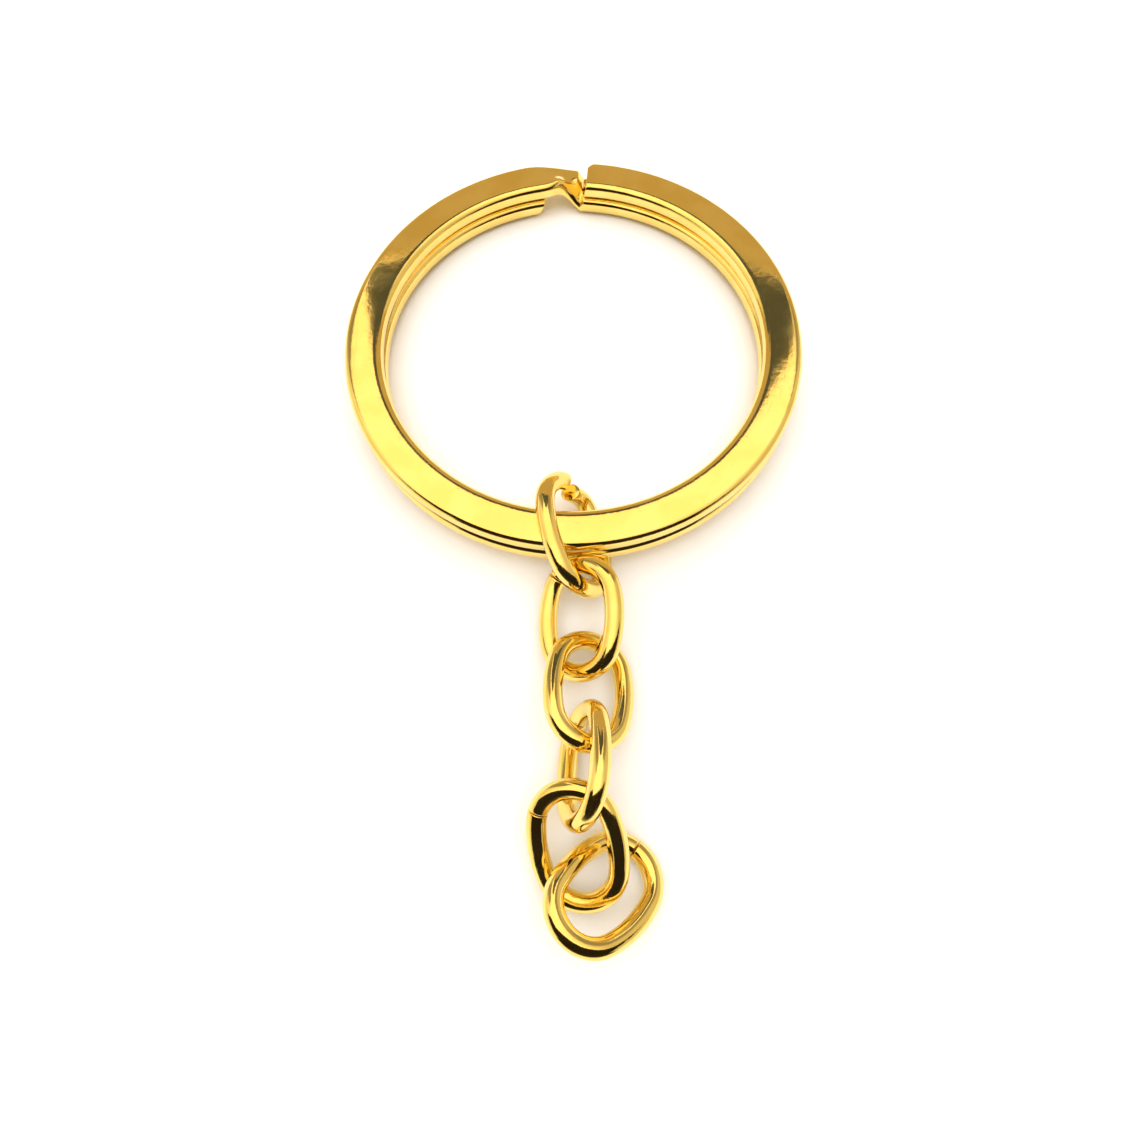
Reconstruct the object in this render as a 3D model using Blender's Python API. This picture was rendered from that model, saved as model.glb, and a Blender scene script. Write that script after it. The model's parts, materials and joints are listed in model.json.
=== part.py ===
"""Split key ring with a short cable chain.

A flat wire is wound into two turns that lie face to face, which makes the ring. A fold on the far side
carries the wire from the lower turn up to the upper one. Six links of round wire hang from the ring, each
bent into an oval whose cut ends meet in a butt seam. The first link stands open at its seam.

Units are metres, +Z is up, and the piece lies on the plane z = 0. The chain runs towards -Y.
The near side of the ring is propped up, because the first link passes under it.
"""

import math

import bpy
from mathutils import Euler, Matrix, Vector

MM = 0.001

# ---- split ring: flat wire wound twice -------------------------------------------------------------
RING_OUTER_RADIUS = 15.0 * MM
RING_INNER_RADIUS = 12.5 * MM
TURN_THICKNESS = 1.24 * MM
TURN_GAP = 0.12 * MM
RING_HEIGHT = 2 * TURN_THICKNESS + TURN_GAP
WIRE_CORNER_RADIUS = 0.45 * MM
WIRE_CORNER_STEPS = 2
LOWER_END_ANGLE = 98.5          # degrees around the ring, where the lower turn starts
FOLD_START_ANGLE = 443.8        # where the wire starts to leave the lower turn, at its outer edge
FOLD_END_ANGLE = 457.5          # where it has reached the upper turn, at its inner edge
FOLD_SKEW_ANGLE = 5.0           # how far the fold at the inner edge lags behind the outer edge
UPPER_END_ANGLE = 803.5         # where the upper turn is cut off
RING_STEP_ANGLE = 4.5
FOLD_STEP_ANGLE = 1.25
RING_TILT = math.radians(2.75)

# ---- chain links: round wire bent into ovals -------------------------------------------------------
LINK_WIRE_RADIUS = 0.6 * MM
LINK_SHAPE = (3.2 * MM, 2.25 * MM, 2.1 * MM)        # half length, half width and end radius of the
FIRST_LINK_SHAPE = (3.5 * MM, 2.55 * MM, 2.4 * MM)  # oval that the middle of the wire follows
SEAM_GAP = 0.06 * MM
FIRST_SEAM_GAP = 0.2 * MM
FIRST_SEAM_STEP = 0.3 * MM      # how far one cut end of the open link is bent inwards
SEAM_STEP_SHARE = 0.07          # share of the link's length over which that end bends
LINK_SEGMENTS = 44
LINK_SIDES = 12

# Where each link lies: its name, the middle of its oval in mm, the heading, pitch and roll of its long
# axis in degrees, its seam's place round the oval in degrees, and its shape.
LINKS = (
    ("ring_link", (-0.32, -13.61, 2.67), (-78, 3, -53), 165, FIRST_LINK_SHAPE),
    ("chain_link_2", (-0.16, -18.82, 2.60), (-95, 12, 29), 200, LINK_SHAPE),
    ("chain_link_3", (0.19, -23.06, 2.55), (-95, -17, -23), 160, LINK_SHAPE),
    ("chain_link_4", (-0.29, -27.17, 2.99), (-93, -23, 66), 200, LINK_SHAPE),
    ("chain_link_5", (-0.77, -31.46, 2.55), (-81, 20, 17), 160, LINK_SHAPE),
    ("end_link", (0.62, -33.86, 2.17), (-143, -29, 4), 196, LINK_SHAPE),
)

GOLD_COLOUR = (0.93, 0.64, 0.20)


def clear_scene():
    """Remove every object, so that the script gives the same model however it is started."""
    for item in list(bpy.data.objects):
        bpy.data.objects.remove(item, do_unlink=True)


def gold(name, tint, roughness):
    """A polished gold plate, a little lighter or darker from piece to piece."""
    material = bpy.data.materials.new(name)
    material.use_nodes = True
    shader = material.node_tree.nodes["Principled BSDF"]
    shader.inputs["Base Color"].default_value = [channel * tint for channel in GOLD_COLOUR] + [1.0]
    shader.inputs["Metallic"].default_value = 1.0
    shader.inputs["Roughness"].default_value = roughness
    return material


def loft(name, sections):
    """Make a closed mesh from a row of sections, each with the same number of points."""
    count = len(sections[0])
    points = [point for section in sections for point in section]
    faces = []
    for row in range(len(sections) - 1):
        for side in range(count):
            here, there = row * count, (row + 1) * count
            step = (side + 1) % count
            faces.append((here + side, there + side, there + step, here + step))
    faces.append(tuple(range(count)))
    faces.append(tuple(reversed(range(len(points) - count, len(points)))))
    mesh = bpy.data.meshes.new(name)
    mesh.from_pydata(points, [], faces)
    mesh.shade_smooth()
    mesh.set_sharp_from_angle(angle=math.radians(40))
    mesh.validate()
    return mesh


def add_piece(mesh, matrix, material):
    """Put a mesh in the scene as one named object."""
    piece = bpy.data.objects.new(mesh.name, mesh)
    bpy.context.collection.objects.link(piece)
    piece.matrix_world = matrix
    mesh.materials.append(material)
    return piece


def smooth_step(value):
    """Rise from 0 to 1 with level ends."""
    value = min(max(value, 0.0), 1.0)
    return value * value * (3 - 2 * value)


def wire_profile():
    """The flat wire's section: distance from the ring's axis and height, anticlockwise from outside."""
    middle_radius = (RING_OUTER_RADIUS + RING_INNER_RADIUS) / 2
    half_width = (RING_OUTER_RADIUS - RING_INNER_RADIUS) / 2 - WIRE_CORNER_RADIUS
    half_height = TURN_THICKNESS / 2 - WIRE_CORNER_RADIUS
    points = []
    for corner, (across, up) in enumerate(((1, -1), (1, 1), (-1, 1), (-1, -1))):
        for step in range(WIRE_CORNER_STEPS + 1):
            turn = math.radians(-90 + 90 * corner + 90 * step / WIRE_CORNER_STEPS)
            radius = middle_radius + across * half_width + WIRE_CORNER_RADIUS * math.cos(turn)
            height = TURN_THICKNESS / 2 + up * half_height + WIRE_CORNER_RADIUS * math.sin(turn)
            points.append((radius, height))
    return points


def fold_rise(angle, radius):
    """How high the wire has risen at this angle; the inner edge rises later than the outer edge."""
    inward = (RING_OUTER_RADIUS - radius) / (RING_OUTER_RADIUS - RING_INNER_RADIUS)
    start = FOLD_START_ANGLE + FOLD_SKEW_ANGLE * inward
    span = FOLD_END_ANGLE - FOLD_START_ANGLE - FOLD_SKEW_ANGLE
    return (TURN_THICKNESS + TURN_GAP) * smooth_step((angle - start) / span)


def wire_angles():
    """Stations along the wire, closer together through the fold."""
    def stretch(start, end, step):
        count = math.ceil((end - start) / step)
        return [start + (end - start) * index / count for index in range(count)]

    angles = stretch(LOWER_END_ANGLE, FOLD_START_ANGLE, RING_STEP_ANGLE)
    angles += stretch(FOLD_START_ANGLE, FOLD_END_ANGLE, FOLD_STEP_ANGLE)
    angles += stretch(FOLD_END_ANGLE, UPPER_END_ANGLE, RING_STEP_ANGLE)
    return angles + [UPPER_END_ANGLE]


def split_ring_mesh():
    """Sweep the flat wire's section through the lower turn, the fold and the upper turn."""
    profile = wire_profile()
    sections = []
    for angle in wire_angles():
        turn = math.radians(angle)
        sections.append([
            Vector((radius * math.cos(turn), radius * math.sin(turn), height + fold_rise(angle, radius)))
            for radius, height in profile
        ])
    return loft("split_ring", sections)


def ring_matrix():
    """Tilt the ring about its far bottom edge, so that its near side stands clear of the first link."""
    foot_radius = RING_OUTER_RADIUS - WIRE_CORNER_RADIUS
    lift = Matrix.Translation((0, 0, foot_radius * math.sin(RING_TILT)))
    return lift @ Matrix.Rotation(-RING_TILT, 4, "X")


def oval_point(turn, shape):
    """A point of the oval and its tangent, where its outward normal points along the given angle."""
    half_length, half_width, end_radius = shape
    reach, rise = half_length - end_radius, half_width - end_radius
    side_radius = (reach ** 2 / rise + end_radius + half_width) / 2
    across, up = math.cos(turn), math.sin(turn)
    end_arc = abs(math.atan2(up, abs(across))) <= math.atan2(side_radius - half_width, reach)
    if end_arc:
        point = Vector((math.copysign(reach, across) + end_radius * across, end_radius * up, 0))
    else:
        point = Vector((side_radius * across,
                        side_radius * up - math.copysign(side_radius - half_width, up), 0))
    return point, Vector((-up, across, 0))


def seam_bend(share):
    """How far the open link's wire stands inside its oval, which is only near its second cut end."""
    return FIRST_SEAM_STEP * smooth_step(1 - (1 - share) / SEAM_STEP_SHARE)


def link_mesh(name, shape, seam_angle):
    """Sweep round wire along the oval from one cut end to the other, leaving the seam open."""
    is_open = shape is FIRST_LINK_SHAPE
    gap_turn = (FIRST_SEAM_GAP if is_open else SEAM_GAP) / shape[2]
    sections = []
    for index in range(LINK_SEGMENTS + 1):
        share = index / LINK_SEGMENTS
        turn = math.radians(seam_angle) + gap_turn / 2 + (2 * math.pi - gap_turn) * share
        point, tangent = oval_point(turn, shape)
        outward = Vector((tangent.y, -tangent.x, 0))
        if is_open:
            point -= outward * seam_bend(share)
        section = []
        for side in range(LINK_SIDES):
            around = 2 * math.pi * side / LINK_SIDES
            arm = outward * math.cos(around) + Vector((0, 0, math.sin(around)))
            section.append(point + arm * LINK_WIRE_RADIUS)
        sections.append(section)
    return loft(name, sections)


def link_matrix(place, angles):
    """Lay a link, whose long axis is local X, at its place with a heading, a pitch and a roll."""
    heading, pitch, roll = (math.radians(angle) for angle in angles)
    turn = Euler((roll, pitch, heading), "XYZ").to_matrix().to_4x4()
    return Matrix.Translation(Vector(place) * MM) @ turn


def centre_on_origin(pieces):
    """Move all pieces together, so that the origin is in the middle of their box's bottom."""
    corners = [piece.matrix_world @ vertex.co for piece in pieces for vertex in piece.data.vertices]
    low = Vector([min(corner[axis] for corner in corners) for axis in range(3)])
    high = Vector([max(corner[axis] for corner in corners) for axis in range(3)])
    shift = Matrix.Translation((-(low.x + high.x) / 2, -(low.y + high.y) / 2, -low.z))
    for piece in pieces:
        piece.matrix_world = shift @ piece.matrix_world


def build():
    """Make the ring and its six links, each as its own object."""
    clear_scene()
    pieces = [add_piece(split_ring_mesh(), ring_matrix(), gold("ring_gold", 1.0, 0.12))]
    for index, (name, place, angles, seam_angle, shape) in enumerate(LINKS):
        material = gold(name + "_gold", 1.0 - 0.02 * (index % 3), 0.14)
        pieces.append(add_piece(link_mesh(name, shape, seam_angle), link_matrix(place, angles), material))
    bpy.context.view_layer.update()
    centre_on_origin(pieces)


build()
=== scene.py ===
# %% [markdown]
# # A gold split key ring with six chain links
#
# The ring is one flat wire wound twice, and six links of round wire hang from it. All of them are
# polished and gold plated, so nearly everything that the eye sees on them is a reflection. That gives
# this lesson its order: first the exact shapes, because a mirror shows every dent, then the finish, and
# then the room of light that the gold reflects.

# %% Load the frame
import json
import math

import bpy
import numpy as np
from mathutils import Matrix, Vector


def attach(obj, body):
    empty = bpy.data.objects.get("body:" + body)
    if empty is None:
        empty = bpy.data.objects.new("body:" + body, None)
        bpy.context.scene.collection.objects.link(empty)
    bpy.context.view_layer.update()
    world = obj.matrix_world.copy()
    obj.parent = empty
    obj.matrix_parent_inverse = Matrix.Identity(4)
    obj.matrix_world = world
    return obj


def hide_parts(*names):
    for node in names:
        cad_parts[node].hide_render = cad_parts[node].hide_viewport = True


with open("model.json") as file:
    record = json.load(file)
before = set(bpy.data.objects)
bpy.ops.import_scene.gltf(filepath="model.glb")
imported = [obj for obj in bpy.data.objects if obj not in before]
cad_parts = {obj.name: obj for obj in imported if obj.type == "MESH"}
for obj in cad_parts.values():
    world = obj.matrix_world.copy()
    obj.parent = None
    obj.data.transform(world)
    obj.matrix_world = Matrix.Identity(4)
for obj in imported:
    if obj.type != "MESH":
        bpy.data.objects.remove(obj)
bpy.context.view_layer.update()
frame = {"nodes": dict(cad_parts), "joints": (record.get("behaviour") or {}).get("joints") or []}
MM = 0.001
print("frame loaded:", sorted(frame["nodes"]))

# %% [markdown]
# ## Where the ring lies
#
# The first link travels round the ring, so that joint's axis is the ring's own axis, and it stands in the
# middle of the ring's lower face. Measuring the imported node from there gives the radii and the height.
# Reading sizes off the frame keeps the looks in step with the design if the design changes.

# %% Measure the ring
travel = next(joint for joint in frame["joints"] if joint["name"] == "ring_link_travel")
ring_up = Vector(travel["axis"]).normalized()
ring_right = Vector((1, 0, 0))
ring_far = ring_up.cross(ring_right)
ring_place = Matrix((ring_right, ring_far, ring_up)).transposed().to_4x4()
ring_place.translation = Vector(travel["pos_m"])


def node_points(name, place):
    """A CAD node's vertices, in mm, as seen from a place."""
    back = place.inverted()
    return np.array([back @ vertex.co for vertex in frame["nodes"][name].data.vertices]) / MM


ring_points = node_points("split_ring", ring_place)
ring_radii = np.hypot(ring_points[:, 0], ring_points[:, 1])
RING_CLEARANCE = 0.01       # mm that the ring stays inside the CAD ring
ring_outer, ring_inner = ring_radii.max() - RING_CLEARANCE, ring_radii.min() + RING_CLEARANCE
ring_height = ring_points[:, 2].max()
print(f"ring: {2 * ring_outer:.2f} mm across, hole {2 * ring_inner:.2f} mm, {ring_height:.2f} mm high")

# %% [markdown]
# ## Where each link lies
#
# A link is an oval of round wire, so its points spread furthest along its length, less across it and
# least through it. The directions of greatest and least spread of a cloud of points come from the
# eigenvectors of its covariance matrix. They give each link its own frame, with X along the link
# towards the chain's free end, Y across it and Z out of its plane.

# %% Measure the links
LINK_NAMES = ("ring_link", "chain_link_2", "chain_link_3", "chain_link_4", "chain_link_5", "end_link")
LINK_CLEARANCE = 0.015      # mm that the wire stays inside the CAD wire


def link_frame(name):
    """The place of a link, and the half length, half width and wire radius of its oval in mm."""
    points = node_points(name, Matrix.Identity(4))
    spread, directions = np.linalg.eigh(np.cov(points.T))
    up, along = Vector(directions[:, 0]), Vector(directions[:, 2])
    up = up if up.z > 0 else -up
    along = along if along.y < 0 else -along
    place = Matrix((along, up.cross(along), up)).transposed().to_4x4()
    seen = points @ np.array(place.to_3x3())
    low, high = seen.min(axis=0), seen.max(axis=0)
    place.translation = place.to_3x3() @ Vector((low + high) / 2) * MM
    half_length, half_width, half_height = (high - low) / 2
    return place, half_length - half_height, half_width - half_height, half_height - LINK_CLEARANCE


link_frames = {name: link_frame(name) for name in LINK_NAMES}
for name, (place, half_length, half_width, wire_radius) in link_frames.items():
    print(f"{name}: oval {2 * half_length:.2f} by {2 * half_width:.2f} mm, wire {2 * wire_radius:.2f} mm")

# %% [markdown]
# ## A tube from sections
#
# Both kinds of wire are made the same way: a closed section is carried along a path, and neighbouring
# sections are joined by quads. A curve with a bevel would do for the links, but not for the ring's fold,
# where the section itself twists. Rows of points in an array handle both, and they let each point keep
# its place in the wire, (along, across, up) in mm, as an attribute that the finish reads later.

# %% The helper that joins sections
SHARP_ANGLE = math.radians(40)


def smooth_step(value):
    """Rise from 0 to 1 with level ends."""
    value = np.clip(value, 0.0, 1.0)
    return value * value * (3 - 2 * value)


def wire_mesh(name, rows, wire_rows):
    """A closed mesh from rows of points in mm, with each point's place in the wire beside it."""
    count, sides = rows.shape[:2]
    here = np.arange((count - 1) * sides)
    nextdoor = here - here % sides + (here + 1) % sides
    quads = np.stack((here, here + sides, nextdoor + sides, nextdoor), axis=1)
    last = (count - 1) * sides
    faces = quads.tolist() + [list(range(sides)), list(range(last, last + sides))[::-1]]
    mesh = bpy.data.meshes.new(name)
    mesh.from_pydata((rows.reshape(-1, 3) * MM).tolist(), [], faces)
    attribute = mesh.attributes.new("wire_place", "FLOAT_VECTOR", "POINT")
    attribute.data.foreach_set("vector", wire_rows.reshape(-1).astype(np.float32))
    mesh.shade_smooth()
    mesh.set_sharp_from_angle(angle=SHARP_ANGLE)
    mesh.validate()
    return mesh


def add_piece(mesh, place, body):
    """Put a mesh at a place, let it ride on its body, and let it stand for that body's CAD node."""
    mesh.transform(place)
    piece = bpy.data.objects.new(mesh.name, mesh)
    bpy.context.scene.collection.objects.link(piece)
    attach(piece, body)
    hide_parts(body)
    print(f"{mesh.name}: {len(mesh.polygons)} faces")
    return piece


# %% [markdown]
# ## The flat wire's section
#
# Flat wire is round wire that was rolled between two rollers. Its broad faces stay slightly crowned and
# its edges are rounded. The crown is only a few hundredths of a millimetre, but on a polished face it
# bends the reflection enough to give the ring its long highlights and dark lines, so it is modelled.

# %% Make the flat wire's section
WIRE_WIDTH = ring_outer - ring_inner
WIRE_THICKNESS = 1.23       # mm, like the next three
WIRE_CORNER = 0.46          # radius of the rolled edges
WIRE_CROWN = 0.035          # drop of the broad faces at the edges
WIRE_BELLY = 0.02           # drop of the narrow faces at the edges
CORNER_POINTS, NARROW_STEPS, BROAD_STEPS = 9, 5, 16


def flat_wire_section():
    """Points (across, up) in mm round the flat wire, anticlockwise from the lower outer corner."""
    half_width, half_height = WIRE_WIDTH / 2 - WIRE_CORNER, WIRE_THICKNESS / 2 - WIRE_CORNER
    corners = ((1, -1), (1, 1), (-1, 1), (-1, -1))
    flats = (NARROW_STEPS, BROAD_STEPS, NARROW_STEPS, BROAD_STEPS)
    points = []
    for index, (across, up) in enumerate(corners):
        turns = np.radians(-90 + 90 * index + np.linspace(0, 90, CORNER_POINTS))
        arc = np.stack((across * half_width + WIRE_CORNER * np.cos(turns),
                        up * half_height + WIRE_CORNER * np.sin(turns)), axis=1)
        after_across, after_up = corners[(index + 1) % 4]
        outward = np.array((math.cos(turns[-1]), math.sin(turns[-1]))) * WIRE_CORNER
        end = np.array((after_across * half_width, after_up * half_height)) + outward
        steps = np.linspace(0, 1, flats[index] + 1)[1:-1, None]
        points += [arc, arc[-1] * (1 - steps) + end * steps]
    section = np.concatenate(points)
    across, up = section.T
    crowned = up * (1 - WIRE_CROWN / (WIRE_THICKNESS / 2) * (across / (WIRE_WIDTH / 2)) ** 2)
    bellied = across * (1 - WIRE_BELLY / (WIRE_WIDTH / 2) * (up / (WIRE_THICKNESS / 2)) ** 2)
    return np.stack((bellied, crowned), axis=1)


wire_section = flat_wire_section()
print(f"flat wire: {WIRE_WIDTH:.2f} by {WIRE_THICKNESS:.2f} mm, {len(wire_section)} points round it")

# %% [markdown]
# ## Winding the ring
#
# The wire starts at the far side, goes once round as the lower turn, climbs in a short fold and goes
# round again on top of itself. A die presses the fold: its outer edge jumps up beside the upper end and
# then climbs slowly, its inner edge climbs evenly, and its inner side is pinched and bevelled. Each
# cut end was sheared, so it slants and its corners are soft. Angles go anticlockwise seen from above.

# %% Wind the split ring
LOWER_END, UPPER_END = 98.5, 804.4          # degrees along the winding, like the next five lines
FOLD_START = 444.6
OUTER_JUMP, OUTER_CLIMB, INNER_CLIMB = 2.4, 17.0, 8.5
PINCH_MIDDLE, PINCH_REACH = 6.0, 4.0
PRESS_IN, PRESS_LEAVE, PRESS_OUT, BEVEL_RUN = 1.5, 4.5, 8.0, 11.0
TURN_STEP, FOLD_STEP, END_REACH = 1.0, 0.25, 3.0
JUMP_SHARE = 0.5            # how much of the climb the outer edge's jump takes
LEAN_START, LEAN_WIDTH = 0.35, 0.5          # shares of the width between the outer climb and the inner
BEVEL_DEEP, BEVEL_THIN = 0.52, 0.90         # shares of the width where the bevel starts, deep and thin
BEVEL_CURVE = 1.2
PINCH_DEPTH, BEVEL_DROP = 0.38, 0.60        # mm, outwards and down
TURN_PITCH = ring_height - WIRE_THICKNESS
END_ROUNDING = 0.07         # mm
END_STEPS = np.array((0, 0.02, 0.05, 0.1, 0.18, 0.28))      # degrees from a cut end
LOWER_SLANT = 0.75          # mm that the lower end's top edge stands beyond its bottom edge
UPPER_SLANT = 0.25          # mm that the upper end's bottom edge stands beyond its top edge
UPPER_CORNER = (0.68, 0.70)     # mm along and across that are off the upper end's outer corner
UPPER_CORNER_CURVE = 1.3


def ring_stations():
    """The angles of the sections along the wire, closer together in the fold and at the cut ends."""
    lower = np.arange(LOWER_END + TURN_STEP / 2, FOLD_START - TURN_STEP, TURN_STEP)
    fold = np.arange(FOLD_START - TURN_STEP, FOLD_START + OUTER_CLIMB + TURN_STEP, FOLD_STEP)
    upper = np.arange(fold[-1] + FOLD_STEP, UPPER_END - TURN_STEP / 2, TURN_STEP)
    return np.concatenate((LOWER_END + END_STEPS, lower, fold, upper, UPPER_END - END_STEPS[::-1]))


def fold_shape(angles, inward, height):
    """How far the die lifts the wire and pushes it outwards, for a share of its width and height."""
    after = angles - FOLD_START
    jump, climb = smooth_step(after / OUTER_JUMP), smooth_step(after / OUTER_CLIMB)
    outer = JUMP_SHARE * jump + (1 - JUMP_SHARE) * climb
    inner = smooth_step(after / INNER_CLIMB)
    lean = smooth_step((inward - LEAN_START) / LEAN_WIDTH)
    pressed = smooth_step(after / PRESS_IN) * (1 - smooth_step((after - PRESS_LEAVE) / PRESS_OUT))
    edge = BEVEL_DEEP + (BEVEL_THIN - BEVEL_DEEP) * smooth_step(after / BEVEL_RUN)
    bevel = np.clip((inward - edge) / (1 - edge), 0, 1) ** BEVEL_CURVE
    rise = TURN_PITCH * (outer + (inner - outer) * lean) - BEVEL_DROP * pressed * height * bevel
    pinch = PINCH_DEPTH * np.exp(-((after - PINCH_MIDDLE) / PINCH_REACH) ** 2) * inward ** 2
    return rise, pinch


def rounded_ends(edge):
    """How far a section shrinks at this distance from a cut end, so that the end's edge is round."""
    pulled = np.clip(END_ROUNDING - edge, 0, None)
    return END_ROUNDING - np.sqrt(np.clip(END_ROUNDING ** 2 - pulled ** 2, 0, None))


def ring_rows():
    """Every point of the ring's surface in mm, row by row, and its place in the wire."""
    angles = ring_stations()[:, None]
    middle = (ring_outer + ring_inner) / 2
    degree = math.radians(middle)
    from_start, to_end = (angles - LOWER_END) * degree, (UPPER_END - angles) * degree
    inset = rounded_ends(np.minimum(from_start, to_end))
    across = wire_section[None, :, 0] * (1 - inset / (WIRE_WIDTH / 2))
    up = wire_section[None, :, 1] * (1 - inset / (WIRE_THICKNESS / 2))
    near_start = smooth_step(1 - from_start / (END_REACH * degree))
    near_end = smooth_step(1 - to_end / (END_REACH * degree))
    share = up / WIRE_THICKNESS
    corner = np.clip(1 - (WIRE_WIDTH / 2 - across) / UPPER_CORNER[1], 0, None) ** UPPER_CORNER_CURVE
    shift = -near_start * LOWER_SLANT * share
    shift = shift - near_end * (UPPER_SLANT * share + UPPER_CORNER[0] * corner)
    turns = np.radians(angles) + shift / middle
    rise, pinch = fold_shape(angles, 0.5 - across / WIRE_WIDTH, 0.5 + share)
    radius = middle + across + pinch
    height = WIRE_THICKNESS / 2 + up + rise
    rows = np.stack((radius * np.cos(turns), radius * np.sin(turns), height), axis=2)
    wire = np.stack(np.broadcast_arrays(from_start, across, up), axis=2)
    return rows, wire


split_ring = add_piece(wire_mesh("split_ring_gold", *ring_rows()), ring_place, "split_ring")

# %% [markdown]
# ## Bending the links
#
# Each link was cut from a coil wound on an oval rod, then closed until its ends met. The path is four
# arcs: two tight ones at the ends and two flat ones along the sides. The first link was opened to go on
# the ring and pressed shut by hand, so its ends miss each other.

# %% Bend the links
BOW_ROUNDNESS = 0.937       # end radius as a share of the half width
SEAM_TURNS = {"ring_link": 165, "chain_link_2": 232, "chain_link_3": 170,
              "chain_link_4": 200, "chain_link_5": 242, "end_link": 196}
SEAM_GAP, OPEN_SEAM_GAP = 0.06, 0.46        # mm
OPEN_SEAM_STEPS = (0.14, 0.42)      # mm that the first link's cut ends are bent outwards and inwards
OPEN_SEAM_SHARE = 0.09      # share of its length over which each of those ends bends
OPEN_SEAM_SLANT = 0.55      # how steeply the inner end is cut, so that its face looks up
LINK_SECTIONS, LINK_SIDES = 240, 40
CUT_STEPS = np.array((0, 0.015, 0.04, 0.08, 0.13, 0.2))     # mm from a cut end
CUT_REACH = 0.3             # mm from a cut end where the even sections start
OVAL_STEPS = 4000
LINK_WAVE = 0.006           # mm that the wire's surface swells and sinks
SWELL_RATE, TWIST_RATE = 2.1, 1.3   # radians per mm along the wire


def oval_path(turns, half_length, half_width):
    """Points and outward directions of an oval, where its outward direction has the given angles."""
    end_radius = half_width * BOW_ROUNDNESS
    reach, rise = half_length - end_radius, half_width - end_radius
    side_radius = (reach ** 2 / rise + end_radius + half_width) / 2
    across, up = np.cos(turns), np.sin(turns)
    in_bow = np.abs(np.arctan2(up, np.abs(across))) <= math.atan2(side_radius - half_width, reach)
    x = np.where(in_bow, np.sign(across) * reach + end_radius * across, side_radius * across)
    y = np.where(in_bow, end_radius * up, side_radius * up - np.sign(up) * (side_radius - half_width))
    return np.stack((x, y), axis=1), np.stack((across, up), axis=1)


def even_turns(half_length, half_width, start, gap):
    """Angles that step evenly along the wire, from one cut end round to the other, denser at the cuts."""
    fine = start + np.linspace(0, 2 * math.pi, OVAL_STEPS)
    points, _ = oval_path(fine, half_length, half_width)
    lengths = np.concatenate(([0], np.cumsum(np.hypot(*np.diff(points, axis=0).T))))
    total = lengths[-1] - gap
    body = np.linspace(CUT_REACH, total - CUT_REACH, LINK_SECTIONS)
    along = np.concatenate((CUT_STEPS, body, total - CUT_STEPS[::-1]))
    return np.interp(gap / 2 + along, lengths, fine), along, total


def link_rows(name, index):
    """Every point of a link's surface in mm, in the link's own frame, and its place in the wire."""
    place, half_length, half_width, wire_radius = link_frames[name]
    is_open = name == "ring_link"
    gap = OPEN_SEAM_GAP if is_open else SEAM_GAP
    turns, along, total = even_turns(half_length, half_width, math.radians(SEAM_TURNS[name]), gap)
    middle, outward = oval_path(turns, half_length, half_width)
    if is_open:
        first = smooth_step(1 - along / total / OPEN_SEAM_SHARE)
        second = smooth_step(1 - (1 - along / total) / OPEN_SEAM_SHARE)
        bend = OPEN_SEAM_STEPS[0] * first - OPEN_SEAM_STEPS[1] * second
        middle = middle + outward * bend[:, None]
    around = np.linspace(0, 2 * math.pi, LINK_SIDES, endpoint=False)[None, :]
    inset = rounded_ends(np.minimum(along, total - along))
    step = along[:, None]
    swell = np.sin(SWELL_RATE * step + index)
    twist = np.sin(TWIST_RATE * step + 2 * index + 2 * around)
    radius = wire_radius - inset[:, None] + LINK_WAVE * (swell + twist - 2)
    out, up = radius * np.cos(around), radius * np.sin(around)
    rows = np.stack((middle[:, :1] + outward[:, :1] * out, middle[:, 1:] + outward[:, 1:] * out, up), axis=2)
    if is_open:
        skyward = np.array(place.to_3x3().inverted() @ Vector((0, 0, 1)))
        high = out * (outward @ skyward[:2])[:, None] + up * skyward[2]
        onward = np.stack((-outward[:, 1], outward[:, 0]), axis=1)
        rows[:, :, :2] -= OPEN_SEAM_SLANT * (second[:, None] * high)[:, :, None] * onward[:, None, :]
    wire = np.stack(np.broadcast_arrays(step, out, up), axis=2)
    return rows, wire


links = {}
for index, name in enumerate(LINK_NAMES):
    mesh = wire_mesh(name + "_gold", *link_rows(name, index))
    links[name] = add_piece(mesh, link_frames[name][0], name)

# %% [markdown]
# ## Shader maths as Python
#
# A material is a tree of nodes. Wrapping a socket in a small class lets ordinary expressions build the
# Math nodes, and one method makes any other node from its type, its settings and its socket values.

# %% A small class for shader sockets


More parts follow.
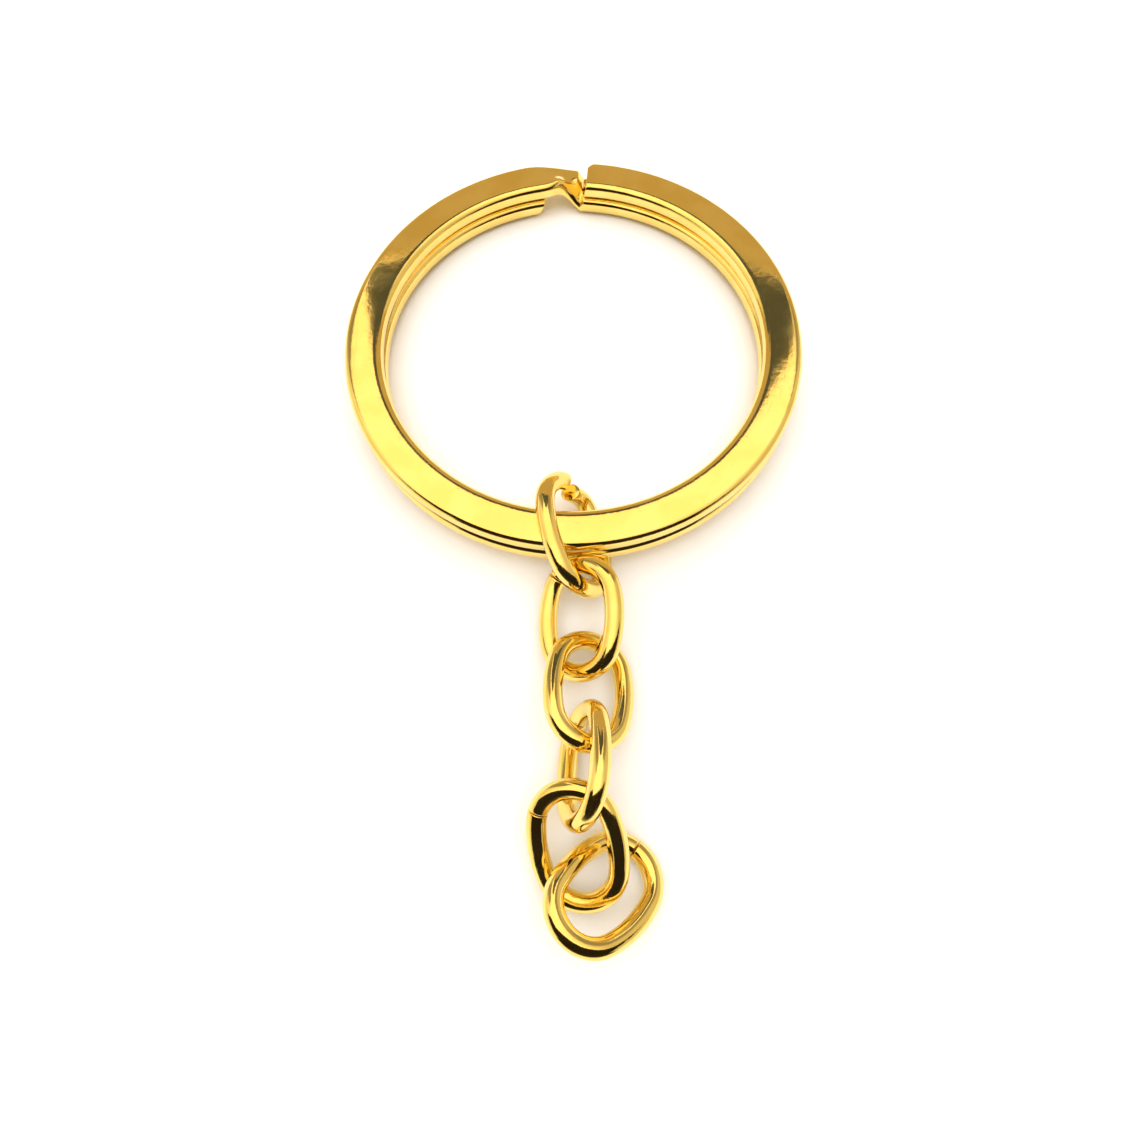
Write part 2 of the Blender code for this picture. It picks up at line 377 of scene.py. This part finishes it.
class Signal:
    """A shader socket that takes part in sums. Each operation adds one Math node to the same tree."""

    def __init__(self, tree, socket):
        self.tree, self.socket = tree, socket

    def node(self, kind, settings=None, sockets=None, output=0):
        """Add a node, set its settings first and its sockets after, and return one of its outputs."""
        made = self.tree.nodes.new(kind)
        for key, value in (settings or {}).items():
            setattr(made, key, value)
        for key, value in (sockets or {}).items():
            if isinstance(value, Signal):
                self.tree.links.new(value.socket, made.inputs[key])
            else:
                made.inputs[key].default_value = value
        return Signal(self.tree, made.outputs[output])

    def math(self, operation, *values):
        """A Math node on these numbers or signals."""
        return self.node("ShaderNodeMath", {"operation": operation}, dict(enumerate(values)))

    def __add__(self, other):
        return self.math("ADD", self, other)

    def __sub__(self, other):
        return self.math("SUBTRACT", self, other)

    def __rsub__(self, other):
        return self.math("SUBTRACT", other, self)

    def __mul__(self, other):
        return self.math("MULTIPLY", self, other)

    __radd__, __rmul__ = __add__, __mul__

    def between(self, start, end):
        """0 where this signal is below start, 1 where it is above end, and smooth between them."""
        return self.node("ShaderNodeMapRange", {"interpolation_type": "SMOOTHSTEP"},
                         {"Value": self, "From Min": start, "From Max": end})

    def mix(self, low, high):
        """A colour that is low where this signal is 0 and high where it is 1."""
        return self.node("ShaderNodeMix", {"data_type": "RGBA"}, {0: self, 6: low, 7: high}, output=2)

    def feed(self, shader, name):
        """Lead this signal into a socket of a shader node."""
        self.tree.links.new(self.socket, shader.inputs[name])


def new_material(name):
    """A material with its Principled shader and a start for its signals."""
    material = bpy.data.materials.new(name)
    material.use_nodes = True
    return material, material.node_tree.nodes["Principled BSDF"], Signal(material.node_tree, None)


# %% [markdown]
# ## Gold plate
#
# Gold plating is a metal with a warm yellow reflection. What makes it look real is how little it varies:
# slightly redder and paler clouds in the plate, lines along the wire from the drawing die, fine
# scratches from wear, and pinpricks where dust or plating flaws sit. All of them are made from noise
# that is stretched along the wire, with the attribute that each point carries.

# %% Gold finish
GOLD_PALE = (0.95, 0.735, 0.235, 1.0)
GOLD_DEEP = (0.90, 0.665, 0.185, 1.0)
GOLD_WORN = (0.98, 0.80, 0.32, 1.0)
GOLD_DULL = (0.55, 0.38, 0.10, 1.0)
RELIEF = 0.0012             # mm
BASE_ROUGHNESS = 0.055
CLOUDS_PER_MM, WAVES_PER_MM, LINES_PER_MM = 0.45, 1.6, 5.0
SPECKS_PER_MM, SCRATCHES_PER_MM, GRAINS_PER_MM = 6.0, 9.0, 14.0
CLOUD_EDGES, SCRATCH_EDGES, SPECK_EDGES = (0.35, 0.7), (0.66, 0.74), (0.74, 0.79)
LINE_STRETCH, SCRATCH_STRETCH = (0.05, 1, 1), (0.16, 1, 1)
SEED_STEP = (3.7, 1.9, 5.3)         # how far apart the pieces' noise lies


def gold_plate(name, seed, line_share):
    """Polished gold plate: clouds, drawing lines, scratches and specks, in the wire's own directions."""
    material, shader, start = new_material(name)
    place = start.node("ShaderNodeAttribute", {"attribute_name": "wire_place"}, output="Vector")
    shift = tuple(seed * step for step in SEED_STEP)

    def noise(scale, stretch=(1, 1, 1), detail=2.0):
        spread = start.node("ShaderNodeVectorMath", {"operation": "MULTIPLY_ADD"},
                            {0: place, 1: stretch, 2: shift})
        return start.node("ShaderNodeTexNoise", {}, {"Vector": spread, "Scale": scale, "Detail": detail})

    clouds = noise(CLOUDS_PER_MM).between(*CLOUD_EDGES)
    lines = noise(LINES_PER_MM, LINE_STRETCH, 4.0)
    scratches = noise(SCRATCHES_PER_MM, SCRATCH_STRETCH, 3.0).between(*SCRATCH_EDGES)
    grain = noise(GRAINS_PER_MM)
    specks = noise(SPECKS_PER_MM).between(*SPECK_EDGES)
    colour = clouds.mix(GOLD_DEEP, GOLD_PALE)
    colour = (scratches * 0.5).mix(colour, GOLD_WORN)
    colour = (specks * 0.7).mix(colour, GOLD_DULL)
    colour.feed(shader, "Base Color")
    roughness = BASE_ROUGHNESS + 0.05 * clouds + 0.06 * grain * lines + 0.12 * scratches + 0.25 * specks
    roughness.feed(shader, "Roughness")
    waves = noise(WAVES_PER_MM, detail=3.0)
    relief = 6.0 * waves + line_share * lines + 0.9 * grain + 0.8 * scratches - 1.2 * specks
    bump = start.node("ShaderNodeBump", {}, {"Strength": 1.0, "Distance": RELIEF * MM, "Height": relief})
    bump.feed(shader, "Normal")
    shader.inputs["Metallic"].default_value = 1.0
    return material


split_ring.data.materials.append(gold_plate("ring_gold_plate", 1, 1.0))
for index, name in enumerate(LINK_NAMES):
    links[name].data.materials.append(gold_plate(name + "_gold_plate", index + 2, 0.6))
print("gold plate on", 1 + len(links), "pieces")

# %% [markdown]
# ## The floor
#
# The piece lies on a plain white sheet. The light round it is warm, so the paper's tone is slightly cool.
# The open sheet then stays white, and the soft shadow near the gold turns peach.

# %% Lay the floor
FLOOR_HALF_SIZE = 0.8       # m
FLOOR_DROP = 0.004 * MM     # how far the sheet lies below the piece
FIBRES_PER_METRE = 300.0
FLOOR_LIGHT = (0.90, 0.91, 0.94, 1.0)
FLOOR_DARK = (0.88, 0.89, 0.92, 1.0)
FIBRE_EDGES = (0.3, 0.7)
FLOOR_ROUGHNESS = 0.9


def floor_mesh():
    """A flat square sheet a hair below the piece."""
    side, low = FLOOR_HALF_SIZE, -FLOOR_DROP
    mesh = bpy.data.meshes.new("floor")
    mesh.from_pydata([(-side, -side, low), (side, -side, low), (side, side, low), (-side, side, low)],
                     [], [(0, 1, 2, 3)])
    return mesh


floor = bpy.data.objects.new("floor", floor_mesh())
bpy.context.scene.collection.objects.link(floor)
material, shader, start = new_material("floor_paper")
paper = start.node("ShaderNodeTexNoise", {}, {"Scale": FIBRES_PER_METRE, "Detail": 3.0,
                   "Vector": start.node("ShaderNodeTexCoord", output="Object")})
paper.between(*FIBRE_EDGES).mix(FLOOR_DARK, FLOOR_LIGHT).feed(shader, "Base Color")
shader.inputs["Roughness"].default_value = FLOOR_ROUGHNESS
shader.inputs["Specular IOR Level"].default_value = 0.0
floor.data.materials.append(material)
print("floor:", 2 * FLOOR_HALF_SIZE, "m square")

# %% [markdown]
# ## The light
#
# Polished gold shows the whole room, so the room is the light. A wide white ceiling of cloth gives the
# broad yellow highlights, and the tent's open side is dark low down. A World shader that changes with
# the direction makes such a tent without any lamp that could show as a hard spot.

# %% Build the light tent
DEGREES = 180 / math.pi
CLOTH = (1.80, 1.42, 1.04, 1)           # the lit ceiling
LEFT_WALL = (1.0, 0.89, 0.66, 1)
RIGHT_WALL = (0.80, 0.68, 0.49, 1)
FAR_CORNERS = (0.36, 0.31, 0.24, 1)     # beside the far card, below the cloth
NEAR_SHADE = (0.03, 0.024, 0.02, 1)     # the open side of the tent
NEAR_FOOT = (0.50, 0.41, 0.27, 1)       # the table in front of it
BACKGROUND = (1, 1, 1, 1)               # what the camera itself sees
LEFT_LIT, RIGHT_LIT = (18, 62), (35, 75)            # elevations where a wall turns into cloth
SIDE_CHANGE = (-5, 5)                   # azimuths where the left wall turns into the right one
FAR_SIDE = (45, 62)                     # azimuths off the far direction where the far side ends
CORNER_LIT = (45.5, 49.5)
CARD_LEFT, CARD_RIGHT = (-28, -24), (27, 33)        # azimuths where the far card's cloth ends
OPEN_SIDE, OPEN_ENDS = (0.625, 0.65), (0.82, 0.92)  # shares of a direction, nearwards and sideways
FOOT_TOP = (0, 10)


def light_tent():
    """A World that is bright above and dark low down at the near side."""
    world = bpy.data.worlds.new("light_tent")
    world.use_nodes = True
    bpy.context.scene.world = world
    start = Signal(world.node_tree, None)
    direction = start.node("ShaderNodeTexCoord", output="Generated")
    unit = start.node("ShaderNodeVectorMath", {"operation": "NORMALIZE"}, {0: direction})
    x, y, z = (start.node("ShaderNodeSeparateXYZ", {}, {0: unit}, output=axis) for axis in "XYZ")
    elevation = start.math("ARCSINE", z) * DEGREES
    azimuth = start.math("ARCTAN2", x, y) * DEGREES

    to_right = azimuth.between(*SIDE_CHANGE)
    wall = to_right.mix(LEFT_WALL, RIGHT_WALL)
    lit = elevation.between(*LEFT_LIT) * (1 - to_right) + elevation.between(*RIGHT_LIT) * to_right
    colour = lit.mix(wall, CLOTH)

    corners = elevation.between(*CORNER_LIT).mix(FAR_CORNERS, CLOTH)
    past_card = 1 - (1 - azimuth.between(*CARD_RIGHT)) * azimuth.between(*CARD_LEFT)
    off_far = start.math("ABSOLUTE", azimuth)
    colour = (1 - off_far.between(*FAR_SIDE)).mix(colour, past_card.mix(CLOTH, corners))

    within = 1 - start.math("ABSOLUTE", x).between(*OPEN_ENDS)
    open_side = (0 - y).between(*OPEN_SIDE) * within
    colour = open_side.mix(colour, elevation.between(*FOOT_TOP).mix(NEAR_FOOT, NEAR_SHADE))
    seen = start.node("ShaderNodeLightPath", output="Is Camera Ray")
    seen.mix(colour, BACKGROUND).feed(world.node_tree.nodes["Background"], "Color")


light_tent()
bpy.context.scene.view_settings.view_transform = "Standard"
print("light tent built")

# %% [markdown]
# ## Cards in the tent
#
# What stands close to the piece shows differently in the ring and in each link, so it is made as real
# cards. A brown card behind the piece turns the ring's far side brown, with a dark gap above it, and a
# black card over the near side gives the links their black patches. The cards glow evenly, cast no
# shadow and show only in reflections.

# %% Place the cards
FAR_CARD_Y, NEAR_CARD_Z = 45.0, 45.0        # mm
GAP_BEHIND = 0.2            # mm that the gap's card stands behind the brown one
CARD_BROWN = (0.60, 0.43, 0.23, 1)
CARD_GAP = (0.10, 0.105, 0.11, 1)
CARD_BLACK = (0.02, 0.016, 0.013, 1)
BROWN_OUTLINE = ((-60, 0), (60, 0), (60, 25), (30, 31.5), (0, 43), (-25, 26.5), (-60, 21))
GAP_OUTLINE = ((-27, 26.5), (0, 43), (32, 31.5), (33, 50), (9, 77), (-8, 77), (-20, 60))
BLACK_OUTLINE = ((-120, -110), (120, -110), (120, -26), (40, -32), (-25, -30), (-38, -18),
                 (-120, -11))


def add_card(name, corners, colour):
    """A glowing flat card with these corners in mm, which only reflections show."""
    mesh = bpy.data.meshes.new(name)
    mesh.from_pydata([Vector(corner) * MM for corner in corners], [], [range(len(corners))])
    card = bpy.data.objects.new(name, mesh)
    bpy.context.scene.collection.objects.link(card)
    card.visible_camera = card.visible_diffuse = card.visible_shadow = False
    material, shader, _ = new_material(name + "_paper")
    shader.inputs["Base Color"].default_value = (0, 0, 0, 1)
    shader.inputs["Specular IOR Level"].default_value = 0.0
    shader.inputs["Emission Color"].default_value = colour
    shader.inputs["Emission Strength"].default_value = 1.0
    mesh.materials.append(material)


add_card("brown_card", [(x, FAR_CARD_Y, z) for x, z in BROWN_OUTLINE], CARD_BROWN)
add_card("gap_card", [(x, FAR_CARD_Y + GAP_BEHIND, z) for x, z in GAP_OUTLINE], CARD_GAP)
add_card("black_card", [(x, y, NEAR_CARD_Z) for x, y in BLACK_OUTLINE], CARD_BLACK)
print("three cards in the tent")

# %% [markdown]
# ## A soft sun for the sheet
#
# The tent alone leaves the white sheet a little grey. A sun as wide as a cloudy patch of sky lifts the
# whole sheet to white and keeps its shadows soft. It is hidden from mirror rays, so no disc shows in
# the gold. It is slightly blue, because the cloth's own light is warm.

# %% Hang the sun
SUN_ANGLE, SUN_STRENGTH = math.radians(58), 1.62
SUN_COLOUR = (0.65, 0.84, 1.0)

sun_light = bpy.data.lights.new("sheet_sun", "SUN")
sun_light.angle, sun_light.energy, sun_light.color = SUN_ANGLE, SUN_STRENGTH, SUN_COLOUR
sun = bpy.data.objects.new("sheet_sun", sun_light)
bpy.context.scene.collection.objects.link(sun)
sun.visible_glossy = False
print("sun:", SUN_STRENGTH, "W per square metre")

# %% [markdown]
# ## The camera
#
# The camera stands close above the chain and looks steeply down towards the ring. A wide lens this close
# makes the near links larger than the far side of the ring.

# %% Set the camera
CAMERA_LENS = 24.46         # mm, for a sensor 36 mm wide
CAMERA_SENSOR = 36.0
CLIP_START, CLIP_END = 1 * MM, 10.0
CAMERA_DISTANCE = 49.32 * MM
CAMERA_ELEVATION = math.radians(72.675)
CAMERA_ROLL = math.radians(-1.897)
CAMERA_AIM = Vector((-0.59, -4.144, 0.0)) * MM

forward = Vector((0, math.cos(CAMERA_ELEVATION), -math.sin(CAMERA_ELEVATION)))
right = Vector((1, 0, 0))
up = right.cross(forward)
camera_x = right * math.cos(CAMERA_ROLL) + up * math.sin(CAMERA_ROLL)
camera_y = up * math.cos(CAMERA_ROLL) - right * math.sin(CAMERA_ROLL)
lens = bpy.data.cameras.new("camera")
lens.lens, lens.sensor_width = CAMERA_LENS, CAMERA_SENSOR
lens.clip_start, lens.clip_end = CLIP_START, CLIP_END
camera = bpy.data.objects.new("camera", lens)
bpy.context.scene.collection.objects.link(camera)
camera.matrix_world = Matrix((camera_x, camera_y, -forward)).transposed().to_4x4()
camera.location = CAMERA_AIM - forward * CAMERA_DISTANCE
bpy.context.scene.camera = camera
print("camera at", [round(value / MM, 1) for value in camera.location], "mm")
